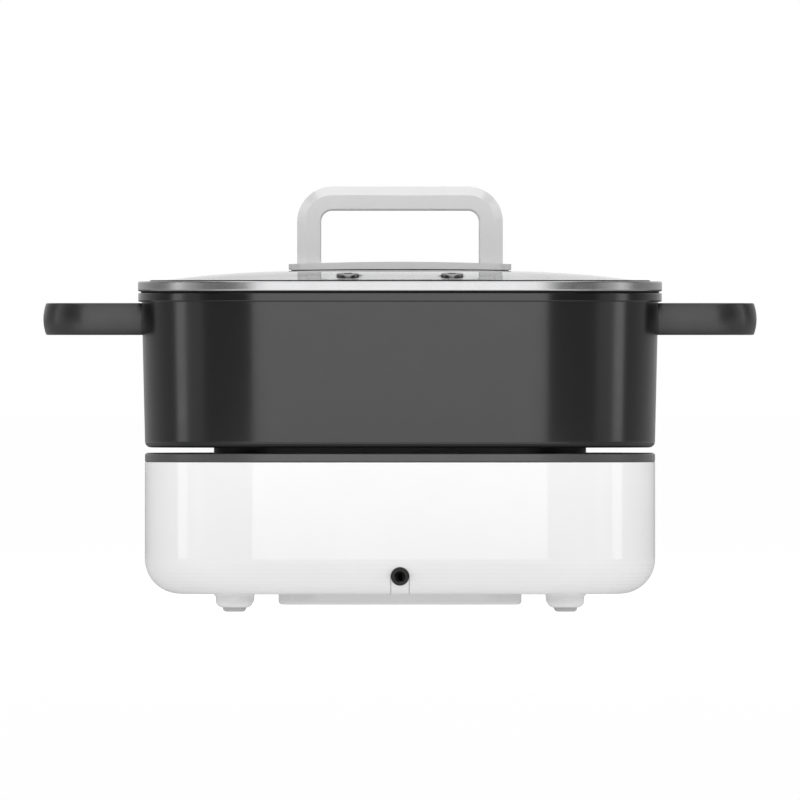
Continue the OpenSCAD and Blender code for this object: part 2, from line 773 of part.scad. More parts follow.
module heat_reflector() {
    dish_r = reflector_d / 2;
    color("lightgray") difference() {
        rotate_extrude() polygon([[0, reflector_z], [dish_r, reflector_z],
            [dish_r, recess_under_z - reflector_t], [dish_r + reflector_flange, recess_under_z - reflector_t],
            [dish_r + reflector_flange, recess_under_z], [dish_r - reflector_t, recess_under_z],
            [dish_r - reflector_t, reflector_top_z], [0, reflector_top_z]]);
        at_legs() translate([0, 0, reflector_z - over])
            cylinder(d = large_screw_d + 2 * fit, h = reflector_t + 2 * over);
        at_pins() cylinder(d = pin_d + 4 * seat, h = pin_h);
        translate([0, 0, reflector_z - over]) cylinder(d = holder_bore_d, h = reflector_t + 2 * over);
    }
}

// Standoffs on the bottom cover, and the long screws that go up through them into the plate legs
module plate_standoffs() {
    floor_z = drop_z + cover_t;
    color("silver") at_legs() translate([0, 0, floor_z])
        ring(standoff_d, large_screw_d + 2 * fit, reflector_z - floor_z);
}

module plate_screws() {
    color("silver") at_legs() translate([0, 0, drop_z])
        screw(large_screw_d, reflector_top_z + leg_h - drop_z);
}

// Sensor

skirt_d = holder_d - 2 * sensor_wall - 2 * fit;
holder_bore_d = holder_d - 2 * sensor_wall;
holder_top_z = pot_z - cap_t - sensor_travel - seat;
spring_seat_z = reflector_top_z + reflector_t;
spring_ring_d = skirt_d - 2 * sensor_wall - 2 * seat - spring_wire_d;

module sensor_cap() {
    skirt_z = holder_top_z - sensor_travel;
    color("gainsboro") difference() {
        union() {
            translate([0, 0, pot_z - cap_t]) cylinder(d = cap_d, h = cap_t);
            translate([0, 0, skirt_z]) cylinder(d = skirt_d, h = pot_z - cap_t / 2 - skirt_z);
        }
        translate([0, 0, skirt_z - over])
            cylinder(d = skirt_d - 2 * sensor_wall, h = pot_z - cap_t - skirt_z + over);
    }
}

module sensor_holder() {
    color("lightsteelblue") {
        translate([0, 0, reflector_top_z]) ring(holder_d, holder_bore_d, holder_top_z - reflector_top_z);
        translate([0, 0, reflector_top_z]) cylinder(d = holder_d, h = reflector_t);
        translate([0, 0, reflector_top_z]) ring(holder_d + 2 * sensor_wall + 2 * reflector_flange,
            holder_bore_d, reflector_t);
    }
}

// Rings to a turn of the spring, and sides of the spring and of the leads
spring_steps = 12;
tube_sides = 6;

// A tube through a list of rings, each a loop of points that turns right-handed round the way it runs
module swept(rings) {
    last = len(rings) - 1;
    function at(i, k) = i * tube_sides + k % tube_sides;
    polyhedron([for (ring = rings) each ring], concat(
        [[for (k = [0 : tube_sides - 1]) at(0, k)]],
        [for (i = [0 : last - 1]) for (k = [0 : tube_sides - 1]) each
            [[at(i, k), at(i + 1, k), at(i + 1, k + 1)], [at(i, k), at(i + 1, k + 1), at(i, k + 1)]]],
        [[for (k = [tube_sides - 1 : -1 : 0]) at(last, k)]]));
}

// One ring of such a tube
function ring_points(centre, radius, first, second) = [for (k = [0 : tube_sides - 1])
    let (angle = k * full_turn / tube_sides) centre + radius * (first * cos(angle) + second * sin(angle))];

// Rings along a route that never runs along the X axis
function route_rings(path, radius) = let (last = len(path) - 1) [for (i = [0 : last])
    let (along = unit(path[min(i + 1, last)] - path[max(i - 1, 0)]),
        first = unit([1, 0, 0] - along.x * along))
    ring_points(path[i], radius, first, cross(along, first))];

module sensor_spring() {
    height = pot_z - cap_t - spring_seat_z - spring_wire_d - 2 * fit;
    steps = spring_turns * spring_steps;
    color("darkgray") swept([for (i = [0 : steps])
        let (angle = i * full_turn / spring_steps, out = [cos(angle), sin(angle), 0])
        ring_points(spring_ring_d / 2 * out
            + [0, 0, spring_seat_z + fit + spring_wire_d / 2 + height * i / steps],
            spring_wire_d / 2, out, [0, 0, -1])]);
}

// Thermal fuse under the reflector

fuse_d = 4.4;
fuse_l = 14;
fuse_y = -leg_ring_d / 3;
clip_w = 8;

module thermal_fuse() {
    color("burlywood") translate([-fuse_l / 2, fuse_y, reflector_z - fuse_d]) rotate([0, quarter, 0])
        cylinder(d = fuse_d, h = fuse_l);
}

module fuse_clip() {
    color("silver") difference() {
        translate([-clip_w / 2, fuse_y - fuse_d, reflector_z - 2 * fuse_d])
            cube([clip_w, 2 * fuse_d, 2 * fuse_d]);
        translate([-clip_w, fuse_y, reflector_z - fuse_d]) rotate([0, quarter, 0])
            cylinder(d = fuse_d + 2 * fit, h = 2 * clip_w);
    }
}

// Thermostat, knob and dial

bush_d = 10;
bush_l = well_wall + dial_plate_t;
thermostat_screw_x = (thermostat_w + bush_d) / 4;
thermostat_screw_l = well_wall + thermostat_l / 3;
shaft_end_y = knob_end_y - knob_wall - 2 * seat;
hub_d = shaft_d + 2 * knob_wall;
pointer_w = 1.8;
pointer_l = 4.2;
disc_t = 1;
// Turn of the pointer from straight down to the first mark, where the heat is off
off_turn = knob_turn / 2 - half_turn;

module thermostat_body() {
    color("ivory") difference() {
        union() {
            translate([-thermostat_w / 2, thermostat_y - thermostat_l, dial_z - thermostat_h / 2])
                cube([thermostat_w, thermostat_l, thermostat_h]);
            facing_front(0, thermostat_y - root) cylinder(d = bush_d, h = bush_l + root);
        }
        facing_front(0, thermostat_y - thermostat_l / 2)
            cylinder(d = shaft_d + 2 * fit, h = thermostat_l + bush_l);
        for (x = both_sides) facing_front(x * thermostat_screw_x, well_y) rotate([half_turn, 0, 0])
            cylinder(d = small_screw_d + 2 * fit, h = thermostat_screw_l + seat);
    }
}

module thermostat_screws() {
    color("silver") for (x = both_sides) facing_front(x * thermostat_screw_x, well_y)
        rotate([half_turn, 0, 0]) screw(small_screw_d, thermostat_screw_l);
}

module thermostat_shaft() {
    start_y = thermostat_y - thermostat_l / 2 + seat;
    color("goldenrod") facing_front(0, start_y) cylinder(d = shaft_d, h = shaft_end_y - start_y);
}

module control_knob() {
    color("dimgray") facing_front(0, knob_y) difference() {
        rotate_extrude() polygon(concat([[0, 0], [knob_d / 2, 0]],
            arc([knob_d / 2 - knob_wall / 2, knob_l - knob_wall / 2], knob_wall / 2, 0, quarter, small_steps),
            [[0, knob_l]]));
        for (i = [0 : flute_count - 1]) rotate([0, 0, i * full_turn / flute_count])
            translate([knob_d / 2 + flute_w / 4, 0, knob_wall]) cylinder(d = flute_w, h = knob_l);
        difference() {
            translate([0, 0, -over]) cylinder(d = knob_d - 2 * knob_wall, h = knob_l - knob_wall + over);
            translate([0, 0, seat]) cylinder(d = hub_d, h = knob_l);
        }
        translate([0, 0, -over]) cylinder(d = shaft_d + 2 * fit, h = knob_l - knob_wall + over);
        translate([0, 0, knob_l - disc_t]) cylinder(d = knob_disc_d + 2 * fit, h = disc_t + over);
        rotate([0, 0, off_turn]) translate([-pointer_w / 2 - fit, knob_disc_d / 2 - over, knob_l - disc_t])
            cube([pointer_w + 2 * fit, pointer_l + over + fit, disc_t + over]);
    }
}

module knob_disc() {
    color("silver") facing_front(0, knob_end_y - disc_t) cylinder(d = knob_disc_d, h = disc_t);
}

module knob_pointer() {
    color("white") facing_front(0, knob_end_y - disc_t) rotate([0, 0, off_turn])
        translate([-pointer_w / 2, knob_disc_d / 2 + fit, 0]) cube([pointer_w, pointer_l - fit, disc_t]);
}

module dial_plate() {
    color("black") facing_front(0, well_y) ring(well_d - 2 * seat, bush_d + 2 * seat, dial_plate_t);
}

module dial_marks() {
    color("white") for (i = [0 : mark_count - 1])
        facing_front(0, dial_face_y) rotate([0, 0, (i / (mark_count - 1) - 1 / 2) * knob_turn - quarter])
            translate([(knob_d + well_d) / 4 - mark_l / 2, -mark_w / 2, 0]) cube([mark_l, mark_w, mark_h]);
}

module indicator_lens() {
    color("crimson") {
        facing_front(lens_x, front_y - base_wall) cylinder(d = lens_d, h = base_wall + lens_proud);
        facing_front(lens_x, front_y - 2 * base_wall) cylinder(d = lens_d + base_wall, h = base_wall);
    }
}

module indicator_lamp() {
    color("orange") facing_front(lens_x, front_y - 2 * base_wall - lamp_l) cylinder(d = lens_d, h = lamp_l);
}

// Cord entry and wiring

terminal_y = clamp_y + clamp_w + terminal_w;
terminal_screw_share = 0.4;
terminal_count = 3;
terminal_pitch = terminal_l * terminal_screw_share * 2 / (terminal_count + 1);

module cord_gland() {
    color("black") translate([0, back_y, gland_z]) rotate([-quarter, 0, 0]) difference() {
        union() {
            cylinder(d = gland_d, h = gland_l);
            translate([0, 0, gland_l - gland_collar_l]) cylinder(d = gland_collar_d, h = gland_collar_l);
        }
        translate([0, 0, -over]) cylinder(d = gland_bore_d, h = gland_l + 2 * over);
    }
}

module cord_clamp() {
    clamp_l = clamp_pitch + clamp_w;
    color("white") difference() {
        translate([-clamp_l / 2, clamp_y - clamp_w / 2, gland_z]) cube([clamp_l, clamp_w, clamp_h]);
        translate([0, clamp_y - clamp_w, gland_z]) rotate([-quarter, 0, 0])
            cylinder(d = gland_bore_d, h = 2 * clamp_w);
        for (x = both_sides) translate([x * clamp_pitch / 2, clamp_y, gland_z + clamp_h])
            rotate([half_turn, 0, 0]) screw_hole(small_screw_d, clamp_h + over);
    }
}

module clamp_screws() {
    color("silver") for (x = both_sides) translate([x * clamp_pitch / 2, clamp_y, gland_z + clamp_h])
        rotate([half_turn, 0, 0]) screw(small_screw_d, clamp_h + gland_rise / 2);
}

module at_terminals() {
    for (i = [0 : terminal_count - 1])
        translate([(i - (terminal_count - 1) / 2) * terminal_pitch, terminal_y, cover_top_z]) children();
}

module terminal_block() {
    color("white") difference() {
        translate([-terminal_l / 2, terminal_y - terminal_w / 2, cover_top_z])
            cube([terminal_l, terminal_w, terminal_h]);
        at_terminals() {
            translate([0, -terminal_w, terminal_h / 2]) rotate([-quarter, 0, 0])
                cylinder(d = terminal_bore_d, h = 2 * terminal_w);
            translate([0, 0, terminal_h / 2]) cylinder(d = terminal_bore_d, h = terminal_h);
        }
        for (x = both_sides) translate([x * terminal_l * terminal_screw_share, terminal_y,
            cover_top_z + terminal_h]) rotate([half_turn, 0, 0]) screw_hole(small_screw_d, terminal_h + over);
    }
}

module terminal_screws() {
    color("silver") for (x = both_sides) translate([x * terminal_l * terminal_screw_share, terminal_y,
        cover_top_z + terminal_h]) rotate([half_turn, 0, 0]) screw(small_screw_d, terminal_h + cover_t);
    color("gold") at_terminals() translate([0, 0, terminal_h / 2 + terminal_bore_d / 2])
        cylinder(d = terminal_bore_d - 2 * fit, h = terminal_h / 4);
}

// Leads from the terminals, drawn as smooth curves through a few chosen points
lead_steps = 6;
function spline(p, i, t) = let (
        last = len(p) - 1,
        a = p[max(i - 1, 0)], b = p[i], c = p[i + 1], d = p[min(i + 2, last)])
    (2 * b + (c - a) * t + (2 * a - 5 * b + 4 * c - d) * pow(t, 2)
        + (3 * b - a - 3 * c + d) * pow(t, 3)) / 2;
function smooth(p) = concat([for (i = [0 : len(p) - 2]) for (s = [0 : lead_steps - 1])
    spline(p, i, s / lead_steps)], [p[len(p) - 1]]);

lead_start_y = terminal_y + terminal_w / 4;
lead_z = cover_top_z + terminal_h / 2;
lead_bend = terminal_w;
lead_straight = terminal_w / 3;
thermostat_back_y = thermostat_y - thermostat_l;
pin_xy = element_ring_d / 2 * [cos(element_start), sin(element_start)];
pin_end_z = element_z - pin_h;

module lead(points) {
    swept(route_rings(smooth(points), lead_d / 2));
}

// A lead that leaves its start and reaches its end straight, for a short way
function straight_ends(start, first, middle, last, end) = concat(
    [for (i = [0 : 2]) start + i * lead_straight * first], middle,
    [for (i = [2 : -1 : 0]) end - i * lead_straight * last]);

module live_lead() {
    color("brown") lead(straight_ends([terminal_pitch, lead_start_y, lead_z], [0, 1, 0],
        [[drop_w / 6, -lead_bend, lead_z], [drop_w / 6, half, dial_z - lead_bend]],
        [0, 1, 0], [-thermostat_w / 4, thermostat_back_y, dial_z]));
}

module neutral_lead() {
    color("blue") lead(straight_ends([-terminal_pitch, lead_start_y, lead_z], [0, 1, 0],
        [[-drop_w / 6, 0, lead_z]], [0, 0, 1], [pin_xy.x, pin_xy.y, pin_end_z]));
}

module switched_lead() {
    color("brown") lead(straight_ends([thermostat_w / 4, thermostat_back_y, dial_z], [0, -1, 0],
        [[-pin_xy.x, pin_xy.y + lead_bend / 2, pin_end_z - lead_bend]],
        [0, 0, 1], [-pin_xy.x, pin_xy.y, pin_end_z]));
}

module earth_lead() {
    color("green") lead(straight_ends([0, lead_start_y, lead_z], [0, 1, 0],
        [[0, fuse_y, reflector_z - 2 * lead_bend]], [0, 0, 1], [0, fuse_y + lead_bend, reflector_z]));
}

// Pot

handle_screw_l = handle_h / 2 + lug_w / 4;

// Square brackets on the wall of the pot that the side handles slide over
module at_lugs() {
    for (x = [0, 1], y = both_sides) mirror([x, 0, 0]) translate([pot_x, y * lug_y, handle_z]) children();
}

module lug(play) {
    translate([-pot_wall / 2, -lug_w / 2 - play, -lug_w / 2 - play])
        cube([pot_wall / 2 + lug_l + play, lug_w + 2 * play, lug_w + 2 * play]);
}

module handle_screw_place() {
    at_lugs() translate([lug_l / 2, 0, -handle_h / 2]) children();
}

module handle_brackets() {
    color("dimgray") difference() {
        at_lugs() lug(0);
        sweep_plan() polygon([[0, pot_z + pot_edge_r], [pot_low_r, pot_z + pot_edge_r],
            [pot_r, flange_z], [0, flange_z]]);
        handle_screw_place() cylinder(d = large_screw_d + 2 * fit, h = handle_screw_l + seat);
    }
}

module pot_body() {
    bottom = [pot_low_r - pot_edge_r, pot_z + pot_edge_r];
    cove = [pot_low_r - pot_wall - pot_cove_r, pot_z + pot_floor_t + pot_cove_r];
    color("dimgray") {
        sweep_plan() polygon(concat([[0, pot_z]],
            arc(bottom, pot_edge_r, -quarter, 0, small_steps),
            [[pot_r, flange_z]],
            arc([flange_r - flange_edge_r, flange_z + flange_edge_r], flange_edge_r, -quarter, 0,
                small_steps),
            arc([flange_r - flange_edge_r, mouth_z - flange_edge_r], flange_edge_r, 0, quarter,
                small_steps),
            [[mouth_r, mouth_z]],
            arc(cove, pot_cove_r, 0, -quarter, large_steps),
            [[0, pot_z + pot_floor_t]]));
        translate([-half, -half, pot_z]) cube([core_side, core_side, pot_floor_t]);
        plan_ring(foot_ring_r - foot_ring_t, foot_ring_r, recess_z + foot_ring_clear, pot_z + root);
    }
}

// Section of a side handle: x is the distance out from its corner centres
module handle_section() {
    half_h = handle_h / 2;
    bulge_r = (half_h * half_h + handle_bulge * handle_bulge) / (2 * handle_bulge);
    centre_x = handle_corner_r - bulge_r;
    end_angle = asin((half_h - handle_edge_r) / (bulge_r - handle_edge_r));
    outer_x = centre_x + (bulge_r - handle_edge_r) * cos(end_angle);
    edge_y = half_h - handle_edge_r;
    inner_x = handle_r + handle_edge_r;
    polygon(concat(
        arc([centre_x, 0], bulge_r, -end_angle, end_angle, large_steps),
        after_first(arc([outer_x, edge_y], handle_edge_r, end_angle, quarter, small_steps)),
        arc([inner_x, edge_y], handle_edge_r, quarter, half_turn, small_steps),
        arc([inner_x, -edge_y], handle_edge_r, half_turn, 3 * quarter, small_steps),
        before_last(arc([outer_x, -edge_y], handle_edge_r, -quarter, -end_angle, small_steps))));
}

module side_handle(flip) {
    color("dimgray") mirror([flip, 0, 0]) difference() {
        translate([handle_reach - handle_corner_r, 0, handle_z]) rotate([0, 0, -quarter])
            loop(handle_span, handle_leg) handle_section();
        at_lugs() lug(seat);
        handle_screw_place() screw_hole(large_screw_d, handle_screw_l);
    }
}

module handle_screws() {
    color("silver") handle_screw_place() screw(large_screw_d, handle_screw_l);
}

// Lid

rim_skirt_r = mouth_r - skirt_gap;

module lid_rim() {
    low = [rim_r - rim_edge_r, rim_z + rim_edge_r];
    high = [rim_r - rim_edge_r, rim_top_z - rim_edge_r];
    inner_edge_r = rim_edge_r - rim_t;
    color("silver") sweep_plan() polygon(concat(
        [[rim_skirt_r, rim_z]],
        arc(low, rim_edge_r, -quarter, 0, small_steps),
        arc(high, rim_edge_r, 0, quarter, small_steps),
        [[glass_open_r, rim_top_z], [glass_open_r, glass_z]],
        arc(high, inner_edge_r, quarter, 0, small_steps),
        arc(low, inner_edge_r, 0, -quarter, small_steps),
        [[rim_skirt_r - rim_t, rim_z + rim_t], [rim_skirt_r - rim_t, mouth_z - skirt_h],
            [rim_skirt_r, mouth_z - skirt_h]]));
}

glass_edge_r = glass_open_r + glass_tuck;
glass_low_z = glass_z - glass_t;

module rim_gasket() {
    color("dimgray") {
        plan_ring(glass_edge_r + fit, rim_r - rim_t - fit, glass_low_z, rim_top_z - rim_edge_r);
        plan_ring(glass_open_r, rim_r - rim_edge_r, rim_z + rim_t, glass_low_z);
    }
}

module lid_seal() {
    outer = rim_r - seal_inset;
    color("black") plan_ring(outer - seal_w, outer, mouth_z, rim_z);
}

// The glass: rings of points from the middle of the top, over the edge, to the middle of the underside
glass_shares = [0.15, 0.3, 0.45, 0.6, 0.74, 0.88, 1];
corner_parts = 9;
side_parts = 6;
function plan_points(radius) = [for (turn = [0 : 3]) each concat(
    [for (p = arc([half, half], radius, 0, quarter, corner_parts)) turned(turn, p)],
    [for (k = [1 : side_parts - 1]) turned(turn, [half - core_side * k / side_parts, half + radius])])];
glass_outline = plan_points(glass_open_r);
glass_edge = plan_points(glass_edge_r);
function dome_ring(share, z) = [for (p = glass_outline)
    [p.x * share, p.y * share, z + glass_rise * (1 - pow(share, glass_power))]];
function flat_ring(outline, z) = [for (p = outline) [p.x, p.y, z]];

module glass_body() {
    last_share = len(glass_shares) - 1;
    rings = concat(
        [for (share = glass_shares) dome_ring(share, glass_z)],
        [flat_ring(glass_edge, glass_z), flat_ring(glass_edge, glass_low_z)],
        [for (i = [last_share : -1 : 0]) dome_ring(glass_shares[i], glass_low_z)]);
    count = len(glass_outline);
    points = concat([[0, 0, dome_z], [0, 0, dome_z - glass_t]], [for (ring = rings) each ring]);
    function at(ring, i) = 2 + ring * count + i % count;
    last = len(rings) - 1;
    polyhedron(points, concat(
        [for (i = [0 : count - 1]) [0, at(0, i + 1), at(0, i)]],
        [for (ring = [0 : last - 1]) for (i = [0 : count - 1]) each [
            [at(ring, i), at(ring, i + 1), at(ring + 1, i + 1)],
            [at(ring, i), at(ring + 1, i + 1), at(ring + 1, i)]]],
        [for (i = [0 : count - 1]) [1, at(last, i), at(last, i + 1)]]));
}

// Height of the dome over a point on one of the centre planes
function dome_height(x) = glass_z + glass_rise * (1 - pow(x / glass_half, glass_power));
eyelet_tilt = atan(glass_rise * glass_power * pow(eyelet_y / glass_half, glass_power - 1) / glass_half);

module at_eyelet(side) {
    translate([side * eyelet_x, -eyelet_y, dome_height(eyelet_y)]) rotate([eyelet_tilt, 0, 0]) children();
}

eyelet_tube_d = eyelet_bore_d + 2 * eyelet_wall;

module lid_glass() {
    color("lightcyan") difference() {
        glass_body();
        for (x = both_sides) translate([x * grip_screw_x, 0, glass_low_z])
            cylinder(d = large_screw_d + 2 * seat, h = glass_rise + glass_t);
        for (side = both_sides) at_eyelet(side) translate([0, 0, -2 * glass_t])
            cylinder(d = eyelet_tube_d + 2 * fit, h = 4 * glass_t);
    }
}

module steam_eyelet(side) {
    // Clears the flats that the curved underside of the glass is made of
    roll_z = -glass_t - eyelet_roll_t - 3 * fit;
    edge = eyelet_h * 2 / 3;
    color("silver") at_eyelet(side) difference() {
        union() {
            rotate_extrude() polygon(concat([[0, fit]],
                [[eyelet_d / 2, fit]],
                arc([eyelet_d / 2 - edge, eyelet_h - edge], edge, 0, quarter, small_steps),
                [[0, eyelet_h]]));
            translate([0, 0, roll_z]) cylinder(d = eyelet_tube_d, h = -roll_z + fit);
            translate([0, 0, roll_z]) cylinder(d = eyelet_tube_d + 2 * eyelet_roll_t, h = eyelet_roll_t);
        }
        translate([0, 0, roll_z - over]) cylinder(d = eyelet_bore_d, h = eyelet_h - roll_z + 2 * over);
    }
}

// Lid handle

grip_screw_h = 14;
dome_long_r = pow(grip_plate_w / 2, 2) / (2 * (dome_z - dome_height(grip_plate_w / 2)));

// Section of the loop: x is the distance out from its corner centres, with both outer edges chamfered
module grip_section() {
    half_d = grip_depth / 2;
    inner_x = grip_r + grip_edge_r;
    edge_y = half_d - grip_edge_r;
    polygon(concat(
        [[grip_corner_r, -half_d + grip_chamfer], [grip_corner_r, half_d - grip_chamfer],
            [grip_corner_r - grip_chamfer, half_d]],
        arc([inner_x, edge_y], grip_edge_r, quarter, half_turn, small_steps),
        arc([inner_x, -edge_y], grip_edge_r, half_turn, 3 * quarter, small_steps),
        [[grip_corner_r - grip_chamfer, -half_d]]));
}

// Outline of the plate under the loop, less an inset all round
module plate_outline(inset) {
    corner_r = grip_plate_depth / 4;
    straight_x = grip_plate_w / 2 - corner_r;
    straight_y = grip_plate_depth / 2 - corner_r;
    polygon([for (turn = [0 : 3]) each arc(
        [(turn == 0 || turn == 3 ? 1 : -1) * straight_x, (turn < 2 ? 1 : -1) * straight_y],
        corner_r - inset, turn * quarter, (turn + 1) * quarter, large_steps)]);
}

// A cylinder across the lid whose top has its crown at a height
module long_crown(radius, crown_z) {
    translate([0, grip_plate_depth, crown_z - radius]) rotate([quarter, 0, 0])
        cylinder(r = radius, h = 2 * grip_plate_depth, $fn = long_curve_fn);
}

module lid_handle() {
    top_r = pow(grip_plate_w / 2, 2) / (2 * grip_plate_fall);
    grip_top_z = dome_z + grip_rise;
    corner_z = grip_top_z - grip_corner_r;
    color("gainsboro") difference() {
        union() {
            translate([0, 0, corner_z]) rotate([quarter, 0, 0])
                loop(grip_span, corner_z - dome_z) grip_section();
            intersection() {
                translate([0, 0, dome_z - glass_rise]) linear_extrude(glass_rise + gasket_t + grip_plate_t)
                    plate_outline(0);
                long_crown(top_r, grip_plate_z + grip_plate_t);
            }
        }
        long_crown(dome_long_r, grip_plate_z);
        for (x = both_sides) translate([x * grip_screw_x, 0, dome_z - glass_rise])
            cylinder(d = large_screw_d + 2 * fit, h = glass_rise + grip_screw_h);
    }
}

module handle_gasket() {
    color("black") difference() {
        intersection() {
            translate([0, 0, dome_z - glass_rise]) linear_extrude(glass_rise + gasket_t)
                plate_outline(gasket_inset);
            long_crown(dome_long_r, grip_plate_z);
        }
        long_crown(dome_long_r, dome_z + 2 * fit);
        for (x = both_sides) translate([x * grip_screw_x, 0, dome_z - glass_rise])
            cylinder(d = large_screw_d + 2 * seat, h = 2 * glass_rise);
    }
}

washer_top_z = dome_height(grip_screw_x + washer_d / 2) - glass_t;

module lid_screws() {
    length = dome_z + grip_screw_h - washer_top_z + washer_t;
    color("silver") for (x = both_sides)
        translate([x * grip_screw_x, 0, washer_top_z - washer_t - large_screw_d / 2])
            screw(large_screw_d, length - large_screw_d / 2);
}

module lid_washers() {
    color("dimgray") for (x = both_sides) translate([x * grip_screw_x, 0, washer_top_z - washer_t])
        ring(washer_d, large_screw_d + 2 * fit, washer_t);
}

bottom_cover();
foot_at(0);  // rubber_foot_1
foot_at(1);  // rubber_foot_2
foot_at(2);  // rubber_foot_3
foot_at(3);  // rubber_foot_4
base_shell();
screw_columns();
deck_ears();
dial_cup();
cover_screws();
deck_plate();
deck_screws();
heating_plate();
heating_element();
heat_reflector();
plate_standoffs();
plate_screws();
sensor_cap();
sensor_holder();
sensor_spring();
thermal_fuse();
fuse_clip();
thermostat_body();
thermostat_screws();
thermostat_shaft();
control_knob();
knob_disc();
knob_pointer();
dial_plate();
dial_marks();
indicator_lens();
indicator_lamp();
cord_gland();
cord_clamp();
clamp_screws();
terminal_block();
terminal_screws();
live_lead();
neutral_lead();
switched_lead();
earth_lead();
pot_body();
handle_brackets();
side_handle(1);  // left_handle
side_handle(0);  // right_handle
handle_screws();
lid_rim();
rim_gasket();
lid_seal();
lid_glass();
lid_handle();
handle_gasket();
lid_screws();
lid_washers();
steam_eyelet(-1);  // steam_eyelet_1
steam_eyelet(1);  // steam_eyelet_2
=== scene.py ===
"""Looks of the electric hot pot: materials, glass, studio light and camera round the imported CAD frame."""
import json
import math

import bpy
import bmesh
from mathutils import Matrix, Vector


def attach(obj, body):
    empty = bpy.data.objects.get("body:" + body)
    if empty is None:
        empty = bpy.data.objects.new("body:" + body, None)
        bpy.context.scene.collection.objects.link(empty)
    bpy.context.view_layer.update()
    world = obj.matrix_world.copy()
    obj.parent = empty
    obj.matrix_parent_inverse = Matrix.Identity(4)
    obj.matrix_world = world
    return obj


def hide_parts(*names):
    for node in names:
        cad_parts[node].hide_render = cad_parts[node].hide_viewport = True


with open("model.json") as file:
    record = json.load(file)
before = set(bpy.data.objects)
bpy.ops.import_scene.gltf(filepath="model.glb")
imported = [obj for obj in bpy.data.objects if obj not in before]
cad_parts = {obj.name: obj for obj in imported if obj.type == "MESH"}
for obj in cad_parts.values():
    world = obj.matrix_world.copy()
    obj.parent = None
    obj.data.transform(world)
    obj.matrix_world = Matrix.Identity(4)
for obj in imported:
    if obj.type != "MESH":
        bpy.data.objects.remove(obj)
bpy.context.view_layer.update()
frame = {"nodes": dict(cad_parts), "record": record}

MM = 0.001

# Camera: width of the photograph in the upright plane that shows its scale, height of its middle row, lens
# and sensor in millimetres, and the angle by which the camera looks down
PHOTO_WIDTH = 471.2 * MM
PHOTO_PLANE_Y = -50 * MM
PHOTO_CENTRE_Z = 124.3 * MM
CAMERA_LENS = 1600
SENSOR = 36
NEAREST = 0.1
CAMERA_RISE = math.radians(0.08)

# Plan of the object: a square of corner centres, with every radius counted out from them
CORE_HALF = 70 * MM

# Pot: reach of its inside, height above which the inside lies, and height below which its foot ring lies
POT_INSIDE_R = 79.7 * MM
POT_INSIDE_Z = 98.4 * MM
POT_BOTTOM = 99 * MM

# Height of the axis of the knob
DIAL_Z = 54.5 * MM

# Lid glass: height of its flat edge, thickness, rise and curve of its dome, reach of its free part and of its
# edge, width of its ground edges, and the reach from and to which its tint deepens
GLASS_TOP = 193.3 * MM
GLASS_THICK = 4 * MM
GLASS_RISE = 7.6 * MM
GLASS_POWER = 3.3
GLASS_OPEN_R = 77.5 * MM
GLASS_EDGE_R = 81.45 * MM
GLASS_GROUND = 0.5 * MM
GLASS_TINT_FROM = 76 * MM
GLASS_TINT_TO = 81.5 * MM
GLASS_HALF = CORE_HALF + GLASS_OPEN_R

# Holes in the lid glass, for the screws of the handle and for the steam eyelets, and the drill that cuts them
SCREW_X = 53.6 * MM
SCREW_HOLE_R = 2.25 * MM
EYELET = (30.6 * MM, 118 * MM)
EYELET_HOLE_R = 3.8 * MM
DRILL_LENGTH = 40 * MM
DRILL_FACETS = 48

# Silicone bead between the lid glass and its rim: half its width, its height and the steps of its section
BEAD_R = 1 * MM
BEAD_HEIGHT = 1.5 * MM
BEAD_STEPS = 10

# Steps of the curved meshes
RING_STEPS = 28
CORNER_STEPS = 24
SIDE_STEPS = 20

# Width of the tool marks on metal, and of the clouds and smears in surfaces
RIM_LINE = 0.12 * MM
DIAL_LINE = 0.15 * MM
TURNED_LINE = 0.4 * MM
ROLLED_LINE = 0.5 * MM
CLOUD = 35 * MM
SMEAR = 12 * MM
METAL_SMEAR = 9 * MM

# Floor, in metres: wide enough to reach behind a far camera
FLOOR_SIZE = 160


# Node helpers

def add(tree, kind, inputs=None, **settings):
    """A node with its settings. Each input is a value, or the socket that feeds it."""
    made = tree.nodes.new(kind)
    for name, value in settings.items():
        setattr(made, name, value)
    for name, value in (inputs or {}).items():
        if isinstance(value, bpy.types.NodeSocket):
            tree.links.new(value, made.inputs[name])
        else:
            made.inputs[name].default_value = value
    return made


def calc(tree, operation, first, second=0.0):
    """The result of a sum on one or two numbers."""
    return add(tree, "ShaderNodeMath", {0: first, 1: second}, operation=operation).outputs[0]


def noise(tree, where, size, detail=2.0, rough=0.5):
    """Noise whose lumps are about as wide as size, in metres."""
    return add(tree, "ShaderNodeTexNoise", {"Vector": where, "Scale": 1 / size, "Detail": detail,
                                            "Roughness": rough}).outputs["Fac"]


def spread(tree, value, low, high, from_low=0.3, from_high=0.7):
    """A value stretched to run from low to high."""
    return add(tree, "ShaderNodeMapRange", {"Value": value, "From Min": from_low, "From Max": from_high,
                                            "To Min": low, "To Max": high}).outputs["Result"]


def place(tree):
    """Where a point is on the object at rest."""
    return add(tree, "ShaderNodeTexCoord").outputs["Object"]


def axes_of(tree, where):
    """The three axes of a place."""
    split = add(tree, "ShaderNodeSeparateXYZ", {"Vector": where})
    return split.outputs["X"], split.outputs["Y"], split.outputs["Z"]


def joined(tree, x, y, z):
    """A place made of three numbers or sockets."""
    return add(tree, "ShaderNodeCombineXYZ", {"X": x, "Y": y, "Z": z}).outputs["Vector"]


def length(tree, first, second):
    """Length of the long side of a right triangle."""
    squares = [calc(tree, "POWER", side, 2.0) for side in (first, second)]
    return calc(tree, "SQRT", calc(tree, "ADD", *squares))


